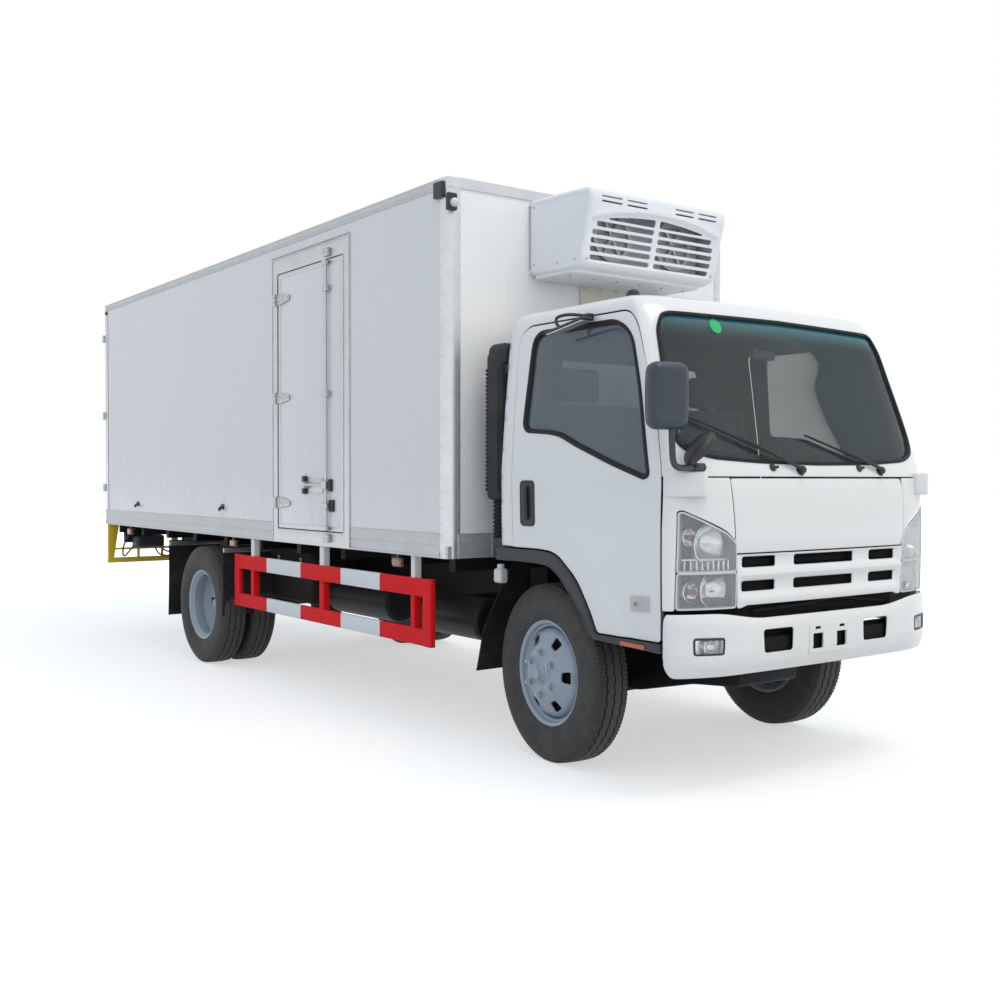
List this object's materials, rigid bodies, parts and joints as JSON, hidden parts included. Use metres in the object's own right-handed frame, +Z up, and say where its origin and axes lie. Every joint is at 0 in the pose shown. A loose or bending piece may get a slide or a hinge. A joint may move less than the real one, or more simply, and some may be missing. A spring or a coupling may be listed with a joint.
{
  "type": "refrigerated truck",
  "caption": "Light refrigerated truck with tilt cab, ladder frame, twin rear wheels, insulated box with side and rear doors, and a front cooling unit.",
  "frame": {"origin": "centre of the bounding box's base, on the ground under the middle of the truck", "axes": "+Z up, -Y towards the front of the truck, +X towards its left-hand side"},
  "size_m": [2.304, 7.7958, 3.16],
  "materials": {
    "frame_black": "satin black chassis paint",
    "axle_black": "dusty black",
    "wheel_silver": "silver-grey wheel paint",
    "tyre": "black rubber",
    "cab_white": "gloss white paint",
    "box_white": "gloss white panel skin",
    "aluminium": "mill-finish rail",
    "black_plastic": "grained black",
    "glass": "tinted glass",
    "lamp_clear": "clear lens",
    "lamp_red": "red lens",
    "seat_fabric": "grey woven fabric",
    "interior_grey": "soft grey plastic",
    "unit_white": "moulded white housing",
    "coil_grey": "finned coil",
    "guard_red": "red and white stripes",
    "guard_yellow": "yellow paint",
    "steel_dark": "dark grey paint"
  },
  "bodies": {
    "chassis": {"frame_rails": "frame_black", "cross_members": "frame_black", "front_axle": "axle_black", "rear_axle": "axle_black", "leaf_springs": "axle_black", "propshaft": "axle_black", "engine_block": "axle_black", "air_tank": "steel_dark", "fuel_tank": "steel_dark", "silencer": "steel_dark", "mudflaps": "black_plastic", "bumper": "cab_white", "cab_pivot": "frame_black", "subframe": "frame_black", "box_bearers": "frame_black", "box_floor": "aluminium", "box_roof": "box_white", "box_front_wall": "box_white", "box_right_wall": "box_white", "box_left_wall": "box_white", "box_rails": "aluminium", "rear_frame": "aluminium", "refrigeration_unit": "unit_white", "unit_coil": "coil_grey", "side_guard_right": "guard_red", "side_guard_left": "guard_red", "rear_underrun": "guard_yellow", "tail_lamps": "lamp_red"},
    "cab": {"cab_floor": "cab_white", "cab_back": "cab_white", "cab_roof": "cab_white", "cab_cowl": "cab_white", "front_panel": "cab_white", "grille": "cab_white", "headlamps": "lamp_clear", "wheel_arches": "black_plastic", "cab_glass": "glass", "seats": "seat_fabric", "dashboard": "interior_grey", "steering_wheel": "black_plastic", "mirrors": "black_plastic", "intake_stack": "black_plastic"},
    "cab_door_right": {"cab_door_right": "cab_white", "door_glass_right": "glass"},
    "knuckle_right": {"knuckle_right": "axle_black"},
    "front_wheel_right": {"front_rim_right": "wheel_silver", "front_tyre_right": "tyre"},
    "rear_wheels_right": {"rear_rims_right": "wheel_silver", "rear_tyres_right": "tyre"},
    "rear_door_right": {"rear_door_right": "box_white"},
    "cab_door_left": {"cab_door_left": "cab_white", "door_glass_left": "glass"},
    "knuckle_left": {"knuckle_left": "axle_black"},
    "front_wheel_left": {"front_rim_left": "wheel_silver", "front_tyre_left": "tyre"},
    "rear_wheels_left": {"rear_rims_left": "wheel_silver", "rear_tyres_left": "tyre"},
    "rear_door_left": {"rear_door_left": "box_white"},
    "side_door": {"side_door": "box_white"}
  },
  "joints": [
    {"name": "cab_tilt", "type": "hinge", "parent": "chassis", "child": "cab", "pos_m": [0, -3.724, 0.86], "axis": [1, 0, 0], "range_deg": [0, 40]},
    {"name": "cab_door_right_swing", "type": "hinge", "parent": "cab", "child": "cab_door_right", "pos_m": [-0.984, -3.694, 1.3], "axis": [0, 0, 1], "range_deg": [0, 65]},
    {"name": "cab_door_left_swing", "type": "hinge", "parent": "cab", "child": "cab_door_left", "pos_m": [0.984, -3.694, 1.3], "axis": [0, 0, -1], "range_deg": [0, 65]},
    {"name": "side_door_swing", "type": "hinge", "parent": "chassis", "child": "side_door", "pos_m": [-1.118, 0.016, 2], "axis": [0, 0, -1], "range_deg": [0, 165]},
    {"name": "rear_door_right_swing", "type": "hinge", "parent": "chassis", "child": "rear_door_right", "pos_m": [-1.115, 3.868, 2], "axis": [0, 0, 1], "range_deg": [0, 250]},
    {"name": "rear_door_left_swing", "type": "hinge", "parent": "chassis", "child": "rear_door_left", "pos_m": [1.115, 3.868, 2], "axis": [0, 0, -1], "range_deg": [0, 250]},
    {"name": "steer_right", "type": "hinge", "parent": "chassis", "child": "knuckle_right", "pos_m": [-0.742, -2.834, 0.4675], "axis": [0, 0, 1], "range_deg": [-29.74, 40.26]},
    {"name": "front_wheel_right_spin", "type": "hinge", "parent": "knuckle_right", "child": "front_wheel_right", "pos_m": [-0.82913, -2.82598, 0.4675], "axis": [0.9958, -0.0917, 0], "continuous": true},
    {"name": "rear_wheels_right_spin", "type": "hinge", "parent": "chassis", "child": "rear_wheels_right", "pos_m": [-0.9195, 1.341, 0.4675], "axis": [1, 0, 0], "continuous": true},
    {"name": "steer_left", "type": "hinge", "parent": "chassis", "child": "knuckle_left", "pos_m": [0.742, -2.834, 0.4675], "axis": [0, 0, 1], "range_deg": [-29.74, 40.26]},
    {"name": "front_wheel_left_spin", "type": "hinge", "parent": "knuckle_left", "child": "front_wheel_left", "pos_m": [0.82913, -2.84202, 0.4675], "axis": [0.9958, -0.0917, 0], "continuous": true},
    {"name": "rear_wheels_left_spin", "type": "hinge", "parent": "chassis", "child": "rear_wheels_left", "pos_m": [0.9195, 1.341, 0.4675], "axis": [1, 0, 0], "continuous": true}
  ],
  "couplings": [
    {"joint": "steer_left", "follows": "steer_right", "ratio": 1}
  ]
}
